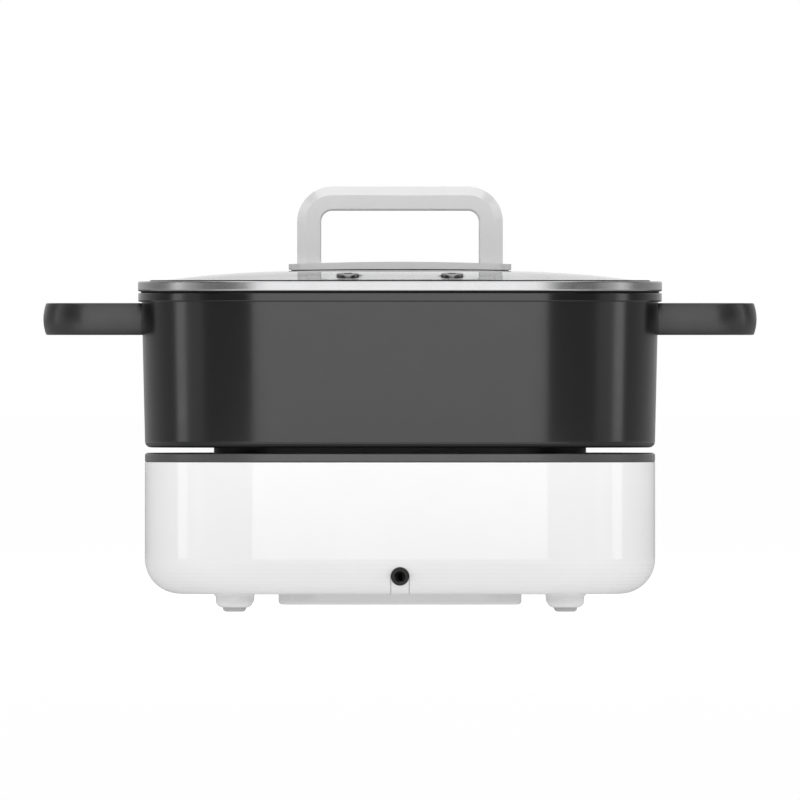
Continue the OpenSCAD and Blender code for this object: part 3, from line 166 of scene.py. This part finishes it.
def plan_radius(tree, where):
    """Distance out from the corner centres of the plan."""
    past = [calc(tree, "SUBTRACT", calc(tree, "ABSOLUTE", axis), CORE_HALF)
            for axis in axes_of(tree, where)[:2]]
    return length(tree, *[calc(tree, "MAXIMUM", side, 0.0) for side in past])


def mix_colours(tree, share, first, second):
    """First where the share is 0, second where it is 1."""
    made = tree.nodes.new("ShaderNodeMix")
    made.data_type = "RGBA"
    colour_inputs = [s for s in made.inputs if s.type == "RGBA"]
    for socket, value in zip([made.inputs[0], *colour_inputs], (share, first, second)):
        if isinstance(value, bpy.types.NodeSocket):
            tree.links.new(value, socket)
        else:
            socket.default_value = value
    return next(s for s in made.outputs if s.type == "RGBA")


def grey(value):
    """A neutral colour for a socket."""
    return (value, value, value, 1.0)


def shade(tree, colour, value, amount):
    """A colour made a little darker and lighter by a value around a half."""
    dark = tuple(c * (1 - amount) for c in colour) + (1.0,)
    light = tuple(min(1.0, c * (1 + amount)) for c in colour) + (1.0,)
    return mix_colours(tree, spread(tree, value, 0.0, 1.0), dark, light)


def new_material(name, **sockets):
    """A material, its node tree and its shader, with the sockets that are the same all over."""
    made = bpy.data.materials.new(name)
    made.use_nodes = True
    tree = made.node_tree
    shader = tree.nodes["Principled BSDF"]
    for socket, value in sockets.items():
        shader.inputs[socket.replace("_", " ")].default_value = value
    return made, tree, shader


def bumped(tree, shader, height, distance, edge=0.0):
    """Relief on a shader, over edges that are softened by a small radius."""
    inputs = {"Height": height, "Distance": distance, "Strength": 1.0}
    if edge:
        inputs["Normal"] = add(tree, "ShaderNodeBevel", {"Radius": edge}, samples=4).outputs["Normal"]
    tree.links.new(add(tree, "ShaderNodeBump", inputs).outputs["Normal"], shader.inputs["Normal"])


def moulded(name, colour, roughness, grain, depth, edge=0.25 * MM, shades=0.03, rough_spread=0.04, **sockets):
    """Moulded, cast or rubber surface: fine grain, faint clouds in its colour and gloss, soft edges."""
    made, tree, shader = new_material(name, **sockets)
    where = place(tree)
    clouds = noise(tree, where, CLOUD, 3)
    tree.links.new(shade(tree, colour, clouds, shades), shader.inputs["Base Color"])
    smears = noise(tree, where, SMEAR, 4)
    tree.links.new(spread(tree, smears, roughness - rough_spread, roughness + rough_spread),
                   shader.inputs["Roughness"])
    bumped(tree, shader, noise(tree, where, grain, 2), depth, edge)
    return made


def streaked(name, colour, roughness, where_of, depth=0.006 * MM, edge=0.12 * MM, shades=0.08, **sockets):
    """Brushed, turned or drawn metal: fine lines along one direction, given by the place that they follow."""
    made, tree, shader = new_material(name, Metallic=1.0, **sockets)
    where = place(tree)
    lines = noise(tree, where_of(tree, where), 1.0, 3, 0.6)
    tree.links.new(shade(tree, colour, lines, shades), shader.inputs["Base Color"])
    smears = noise(tree, where, METAL_SMEAR, 3)
    both = calc(tree, "ADD", calc(tree, "MULTIPLY", lines, 0.6), calc(tree, "MULTIPLY", smears, 0.4))
    tree.links.new(spread(tree, both, roughness - 0.05, roughness + 0.07), shader.inputs["Roughness"])
    bumped(tree, shader, lines, depth, edge)
    return made


def along_rim(tree, where):
    """Lines that run round the plan."""
    _, _, z = axes_of(tree, where)
    out = plan_radius(tree, where)
    return joined(tree, calc(tree, "DIVIDE", out, RIM_LINE), calc(tree, "DIVIDE", z, RIM_LINE), 0.0)


def around_middle(tree, where):
    """Lines that run round the upright axis."""
    x, y, z = axes_of(tree, where)
    out = length(tree, x, y)
    return joined(tree, calc(tree, "DIVIDE", out, TURNED_LINE), calc(tree, "DIVIDE", z, TURNED_LINE), 0.0)


def around_dial(tree, where):
    """Lines that run round the axis of the knob."""
    x, _, z = axes_of(tree, where)
    out = length(tree, x, calc(tree, "SUBTRACT", z, DIAL_Z))
    return joined(tree, calc(tree, "DIVIDE", out, DIAL_LINE), 0.0, 0.0)


def along_sheet(tree, where):
    """Lines along X, as on rolled sheet."""
    _, y, z = axes_of(tree, where)
    return joined(tree, 0.0, calc(tree, "DIVIDE", y, ROLLED_LINE), calc(tree, "DIVIDE", z, ROLLED_LINE))


# Materials

def pot_coating():
    """Satin black coating outside, dull on the foot ring, and non-stick coating with fine specks inside."""
    made, tree, shader = new_material("pot_coating", IOR=1.57)
    where = place(tree)
    _, _, z = axes_of(tree, where)
    within = calc(tree, "LESS_THAN", plan_radius(tree, where), POT_INSIDE_R)
    above = calc(tree, "GREATER_THAN", z, POT_INSIDE_Z)
    inside = calc(tree, "MULTIPLY", within, above)
    cells = add(tree, "ShaderNodeTexVoronoi", {"Vector": where, "Scale": 1 / (2.4 * MM)})
    specks = calc(tree, "LESS_THAN", cells.outputs["Distance"],
                  spread(tree, noise(tree, where, 5 * MM), 0.02, 0.2))
    specks = calc(tree, "MULTIPLY", specks, inside)
    clouds = shade(tree, (0.003, 0.003, 0.0032), noise(tree, where, 40 * MM, 3), 0.12)
    tree.links.new(mix_colours(tree, specks, clouds, grey(0.22)), shader.inputs["Base Color"])
    smears = noise(tree, where, 15 * MM, 4)
    under = calc(tree, "LESS_THAN", z, POT_BOTTOM)
    coarse = calc(tree, "ADD", calc(tree, "MULTIPLY", inside, 0.1), calc(tree, "MULTIPLY", under, 0.28))
    tree.links.new(calc(tree, "ADD", spread(tree, smears, 0.165, 0.195), coarse), shader.inputs["Roughness"])
    bumped(tree, shader, noise(tree, where, 0.9 * MM, 3), 0.008 * MM, 0.3 * MM)
    return made


def heating_face():
    """Cast plate with a turned face."""
    made, tree, shader = new_material("heating_face", Metallic=1.0)
    where = place(tree)
    lines = noise(tree, around_middle(tree, where), 1.0, 2)
    stains = noise(tree, where, 28 * MM, 5, 0.6)
    both = calc(tree, "MULTIPLY", calc(tree, "ADD", lines, stains), 0.5)
    tree.links.new(shade(tree, (0.5, 0.49, 0.47), both, 0.22), shader.inputs["Base Color"])
    tree.links.new(spread(tree, stains, 0.3, 0.46), shader.inputs["Roughness"])
    bumped(tree, shader, lines, 0.02 * MM, 0.2 * MM)
    return made


def clear_glass():
    """Faintly green glass, a little deeper at its edge and not quite even."""
    made, tree, shader = new_material("tempered_glass", IOR=1.5, Transmission_Weight=1.0)
    where = place(tree)
    edge = spread(tree, plan_radius(tree, where), 0.0, 1.0, GLASS_TINT_FROM, GLASS_TINT_TO)
    tree.links.new(mix_colours(tree, edge, (0.71, 0.73, 0.73, 1.0), (0.6, 0.65, 0.64, 1.0)),
                   shader.inputs["Base Color"])
    tree.links.new(spread(tree, noise(tree, where, 30 * MM, 3), 0.0, 0.03), shader.inputs["Roughness"])
    bumped(tree, shader, noise(tree, where, 60 * MM, 1), 0.02 * MM)
    return made


MATERIALS = {
    "white_shell": moulded("white_shell", (0.7, 0.7, 0.7), roughness=0.07, grain=0.7 * MM,
                           depth=0.0015 * MM, shades=0.008, rough_spread=0.015, IOR=1.5),
    "black_deck": moulded("black_deck", (0.052, 0.052, 0.054), roughness=0.34, grain=0.6 * MM,
                          depth=0.008 * MM, IOR=1.5),
    "black_coated_cast": pot_coating(),
    "black_handle": moulded("black_handle", (0.016, 0.016, 0.017), roughness=0.33, grain=0.5 * MM,
                            depth=0.01 * MM, IOR=1.55),
    "black_plastic": moulded("black_plastic", (0.01, 0.01, 0.0105), roughness=0.45, grain=0.4 * MM,
                             depth=0.012 * MM, Specular_IOR_Level=0.3),
    "grey_grip": moulded("grey_grip", (0.57, 0.57, 0.57), roughness=0.18, grain=0.5 * MM,
                         depth=0.006 * MM, shades=0.015, edge=0.0, IOR=1.65),
    "lid_steel": streaked("lid_steel", (0.44, 0.44, 0.445), roughness=0.29, where_of=along_rim),
    "bright_steel": streaked("bright_steel", (0.24, 0.24, 0.245), roughness=0.28, where_of=around_middle,
                             shades=0.04),
    "screw_steel": streaked("screw_steel", (0.5, 0.5, 0.49), roughness=0.26, where_of=around_middle,
                            shades=0.06),
    "sheet_steel": streaked("sheet_steel", (0.5, 0.5, 0.5), roughness=0.34, where_of=along_sheet),
    "spring_steel": streaked("spring_steel", (0.4, 0.4, 0.41), roughness=0.25, where_of=around_middle),
    "element_tube": moulded("element_tube", (0.16, 0.14, 0.13), roughness=0.45, grain=0.4 * MM,
                            depth=0.01 * MM, shades=0.25, Metallic=1.0),
    "plate_alloy": heating_face(),
    "knob_alloy": streaked("knob_alloy", (0.6, 0.6, 0.61), roughness=0.24, where_of=around_dial,
                           depth=0.01 * MM),
    "brass_shaft": streaked("brass_shaft", (0.6, 0.42, 0.17), roughness=0.28, where_of=around_dial),
    "white_print": moulded("white_print", (0.8, 0.8, 0.8), roughness=0.5, grain=0.4 * MM,
                           depth=0.004 * MM, edge=0.05 * MM),
    "ivory_moulding": moulded("ivory_moulding", (0.62, 0.57, 0.46), roughness=0.45, grain=0.5 * MM,
                              depth=0.01 * MM),
    "foot_rubber": moulded("foot_rubber", (0.4, 0.4, 0.4), roughness=0.72, grain=0.6 * MM,
                           depth=0.02 * MM, shades=0.08),
    "black_silicone": moulded("black_silicone", (0.006, 0.006, 0.006), roughness=0.7, grain=0.6 * MM,
                              depth=0.01 * MM, edge=0.1 * MM, Specular_IOR_Level=0.25),
    "lid_glass": clear_glass(),
    "lens_red": moulded("lens_red", (0.42, 0.02, 0.015), roughness=0.12, grain=1.5 * MM, depth=0.01 * MM,
                        shades=0.1, Transmission_Weight=0.5),
    "lamp_glass": moulded("lamp_glass", (0.8, 0.35, 0.1), roughness=0.1, grain=1 * MM, depth=0.005 * MM,
                          Transmission_Weight=0.6),
    "fuse_ceramic": moulded("fuse_ceramic", (0.6, 0.45, 0.28), roughness=0.3, grain=0.5 * MM,
                            depth=0.01 * MM, shades=0.1),
    "brown_sleeve": moulded("brown_sleeve", (0.12, 0.045, 0.02), roughness=0.5, grain=0.4 * MM,
                            depth=0.01 * MM),
    "blue_sleeve": moulded("blue_sleeve", (0.02, 0.06, 0.25), roughness=0.5, grain=0.4 * MM,
                           depth=0.01 * MM),
    "green_sleeve": moulded("green_sleeve", (0.05, 0.22, 0.04), roughness=0.5, grain=0.4 * MM,
                            depth=0.01 * MM, shades=0.3),
}


def dress_nodes():
    """Every CAD node gets the material of its slot."""
    for part in frame["record"]["subparts"]:
        obj = frame["nodes"][part["node"]]
        obj.data.materials.clear()
        obj.data.materials.append(MATERIALS[part["material_slot"]])


# Glass of the lid

def plan_loop(radius):
    """Points round the plan at a radius out from the corner centres."""
    points = []
    for quarter in range(4):
        turn = Matrix.Rotation(quarter * math.pi / 2, 2)
        for i in range(CORNER_STEPS):
            a = i / CORNER_STEPS * math.pi / 2
            points.append(turn @ Vector((CORE_HALF + radius * math.cos(a), CORE_HALF + radius * math.sin(a))))
        for i in range(SIDE_STEPS):
            x = CORE_HALF - 2 * CORE_HALF * i / SIDE_STEPS
            points.append(turn @ Vector((x, CORE_HALF + radius)))
    return points


def flat_ring(outline, z):
    """An outline as points at one height."""
    return [(p.x, p.y, z) for p in outline]


def dome_share(share):
    """Rise of the dome at a share of the way out to its foot."""
    return GLASS_RISE * (1 - share ** GLASS_POWER)


def dome_ring(outline, share, foot_z):
    """An outline drawn in to a share of its size, on a dome whose foot is at a height."""
    return [(p.x * share, p.y * share, foot_z + dome_share(share)) for p in outline]


def new_piece(name, mesh):
    """An object made of a finished bmesh."""
    data = bpy.data.meshes.new(name)
    mesh.to_mesh(data)
    mesh.free()
    piece = bpy.data.objects.new(name, data)
    bpy.context.scene.collection.objects.link(piece)
    return piece


def bore(piece, centre, radius, tilt):
    """Cuts a round hole right through a piece and applies the cut."""
    drill = bmesh.new()
    bmesh.ops.create_cone(drill, cap_ends=True, segments=DRILL_FACETS, radius1=radius, radius2=radius,
                          depth=DRILL_LENGTH,
                          matrix=Matrix.Translation(centre) @ Matrix.Rotation(tilt, 4, "X"))
    tool = new_piece("drill", drill)
    cut = piece.modifiers.new("cut", "BOOLEAN")
    cut.operation, cut.solver, cut.object = "DIFFERENCE", "EXACT", tool
    with bpy.context.temp_override(object=piece, active_object=piece):
        bpy.ops.object.modifier_apply(modifier=cut.name)
    bpy.data.objects.remove(tool)


def bore_screw_holes(piece):
    """Two upright holes under the legs of the handle."""
    for side in (-1, 1):
        bore(piece, Vector((side * SCREW_X, 0, GLASS_TOP)), SCREW_HOLE_R, 0.0)


def bore_eyelet_holes(piece):
    """Two holes on the cord side, square to the slope of the dome."""
    x, y = EYELET
    height = GLASS_TOP + dome_share(y / GLASS_HALF)
    slope = math.atan(GLASS_RISE * GLASS_POWER * (y / GLASS_HALF) ** (GLASS_POWER - 1) / GLASS_HALF)
    for side in (-1, 1):
        bore(piece, Vector((side * x, -y, height)), EYELET_HOLE_R, slope)


def glass_dome():
    """The lid glass as one fine smooth dome with ground edges and its four holes."""
    mesh = bmesh.new()
    outline = plan_loop(GLASS_OPEN_R)
    edge = plan_loop(GLASS_EDGE_R)
    ground_edge = plan_loop(GLASS_EDGE_R - GLASS_GROUND)
    under_z = GLASS_TOP - GLASS_THICK
    shares = [i / RING_STEPS for i in range(1, RING_STEPS + 1)]
    rings = [dome_ring(outline, share, GLASS_TOP) for share in shares]
    rings.append(flat_ring(ground_edge, GLASS_TOP))
    rings.append(flat_ring(edge, GLASS_TOP - GLASS_GROUND))
    rings.append(flat_ring(edge, under_z + GLASS_GROUND))
    rings.append(flat_ring(ground_edge, under_z))
    rings += [dome_ring(outline, share, under_z) for share in reversed(shares)]
    loops = [[mesh.verts.new(p) for p in ring] for ring in rings]
    top = mesh.verts.new((0, 0, GLASS_TOP + GLASS_RISE))
    under = mesh.verts.new((0, 0, under_z + GLASS_RISE))
    count = len(outline)
    for i in range(count):
        after = (i + 1) % count
        mesh.faces.new((top, loops[0][i], loops[0][after]))
        mesh.faces.new((under, loops[-1][after], loops[-1][i]))
        for inner, outer in zip(loops, loops[1:]):
            mesh.faces.new((inner[i], outer[i], outer[after], inner[after]))
    bmesh.ops.recalc_face_normals(mesh, faces=mesh.faces)
    for face in mesh.faces:
        face.smooth = True
    piece = new_piece("glass_dome", mesh)
    bore_screw_holes(piece)
    bore_eyelet_holes(piece)
    piece.data.materials.append(MATERIALS["lid_glass"])
    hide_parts("lid_glass")
    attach(piece, "lid")


def glass_bead():
    """The bead of black silicone between the glass and its steel rim."""
    mesh = bmesh.new()
    loops = []
    for i in range(BEAD_STEPS + 1):
        a = i / BEAD_STEPS * math.pi
        outline = plan_loop(GLASS_OPEN_R - BEAD_R + BEAD_R * math.cos(a))
        loops.append([mesh.verts.new(p) for p in flat_ring(outline, GLASS_TOP + BEAD_HEIGHT * math.sin(a))])
    count = len(loops[0])
    for inner, outer in zip(loops, loops[1:]):
        for i in range(count):
            after = (i + 1) % count
            mesh.faces.new((inner[i], inner[after], outer[after], outer[i])).smooth = True
    bmesh.ops.recalc_face_normals(mesh, faces=mesh.faces)
    piece = new_piece("glass_bead", mesh)
    piece.data.materials.append(MATERIALS["black_silicone"])
    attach(piece, "lid")


# Stage, light and camera

def lit_card(tree, colour, glow):
    """A matt surface that also glows a little."""
    matt = add(tree, "ShaderNodeBsdfDiffuse", {"Color": grey(colour)})
    light = add(tree, "ShaderNodeEmission", {"Color": grey(1.0), "Strength": glow})
    return add(tree, "ShaderNodeAddShader", {0: matt.outputs[0], 1: light.outputs[0]}).outputs[0]


def kinds_of_ray(tree):
    """Whether a ray comes from the camera, straight or through glass, and whether it is a reflection."""
    rays = add(tree, "ShaderNodeLightPath").outputs
    return calc(tree, "MAXIMUM", rays["Is Camera Ray"], rays["Is Transmission Ray"]), rays["Is Glossy Ray"]


def white_floor():
    """A wide white floor that keeps the object's shadow."""
    bpy.ops.mesh.primitive_plane_add(size=FLOOR_SIZE, location=(0, 0, 0))
    floor = bpy.context.object
    floor.name = "floor"
    made = bpy.data.materials.new("floor")
    made.use_nodes = True
    tree = made.node_tree
    tree.nodes.clear()
    seen, glossy = kinds_of_ray(tree)
    white = lit_card(tree, colour=0.3, glow=0.93)
    bounce = lit_card(tree, colour=0.3, glow=0.8)
    mirrored = lit_card(tree, colour=0.2, glow=0.3)
    unseen = add(tree, "ShaderNodeMixShader", {0: glossy, 1: bounce, 2: mirrored})
    both = add(tree, "ShaderNodeMixShader", {0: seen, 1: unseen.outputs[0], 2: white})
    add(tree, "ShaderNodeOutputMaterial", {"Surface": both.outputs[0]})
    floor.data.materials.append(made)


def white_world():
    """A world that is white where it is seen, dim as a light, and bright in reflections from behind."""
    world = bpy.data.worlds.new("studio")
    bpy.context.scene.world = world
    world.use_nodes = True
    tree = world.node_tree
    tree.nodes.clear()
    seen, glossy = kinds_of_ray(tree)
    _, behind, _ = axes_of(tree, add(tree, "ShaderNodeTexCoord").outputs["Generated"])
    mirrored = spread(tree, behind, 0.03, 1.15, 0.28, 1.2)
    level = add(tree, "ShaderNodeMix", {0: glossy, 2: 0.2, 3: mirrored}, data_type="FLOAT").outputs[0]
    level = add(tree, "ShaderNodeMix", {0: seen, 2: level, 3: 1.0}, data_type="FLOAT").outputs[0]
    glow = add(tree, "ShaderNodeBackground", {"Color": grey(1.0), "Strength": level})
    add(tree, "ShaderNodeOutputWorld", {"Surface": glow.outputs[0]})


def softbox(name, location, size, brightness, aim, mirrored=True):
    """An area light with the brightness of its face; one that isn't mirrored lights without a reflection."""
    data = bpy.data.lights.new(name, "AREA")
    data.shape = "RECTANGLE"
    data.size, data.size_y = size
    data.energy = brightness * math.pi * data.size * data.size_y
    lamp = bpy.data.objects.new(name, data)
    bpy.context.scene.collection.objects.link(lamp)
    lamp.location = location
    lamp.rotation_euler = (Vector(aim) - Vector(location)).to_track_quat("-Z", "Y").to_euler()
    lamp.visible_camera = lamp.visible_transmission = False
    lamp.visible_glossy = mirrored


def studio():
    """Lamps in front, above, behind and on both sides, with their places and sizes in metres."""
    pot = (0, 0, 0.12)
    softbox("front_box", (0, -2.2, 1.0), size=(2.0, 2.0), brightness=1.92, aim=(0, 0, 1.0))
    softbox("floor_card", (0, -1.1, 0.004), size=(1.1, 1.5), brightness=1.1, aim=(0, -1.1, 1.0))
    softbox("top_box", (0, -0.2, 2.0), size=(2.2, 2.2), brightness=1.85, aim=pot)
    for side in (-1, 1):
        softbox("side_box", (side * 2.0, -0.05, 0.9), size=(0.39, 1.8), brightness=1.6, aim=(0, -0.05, 0.9))
        softbox("side_wing", (side * 2.0, -0.58, 0.9), size=(0.65, 1.8), brightness=0.4, aim=(0, -0.58, 0.9))
        softbox("side_fill", (side * 1.8, -0.4, 0.8), size=(1.2, 1.4), brightness=1.7, aim=pot,
                mirrored=False)
    softbox("back_box", (0, 2.2, 1.0), size=(3.4, 1.9), brightness=0.75, aim=(0, 0, 1.0), mirrored=False)


def camera():
    """The photograph's camera: far away and all but level."""
    data = bpy.data.cameras.new("camera")
    data.lens, data.sensor_width = CAMERA_LENS, SENSOR
    away = PHOTO_WIDTH * CAMERA_LENS / SENSOR
    data.clip_start, data.clip_end = NEAREST, 4 * away
    eye = bpy.data.objects.new("camera", data)
    bpy.context.scene.collection.objects.link(eye)
    back = Vector((0, -math.cos(CAMERA_RISE), math.sin(CAMERA_RISE)))
    eye.location = Vector((0, PHOTO_PLANE_Y, PHOTO_CENTRE_Z)) + away * back
    eye.rotation_euler = (-back).to_track_quat("-Z", "Y").to_euler()
    bpy.context.scene.camera = eye


camera()
white_floor()
white_world()
studio()
dress_nodes()
glass_dome()
glass_bead()

bpy.context.scene.view_settings.view_transform = "Standard"
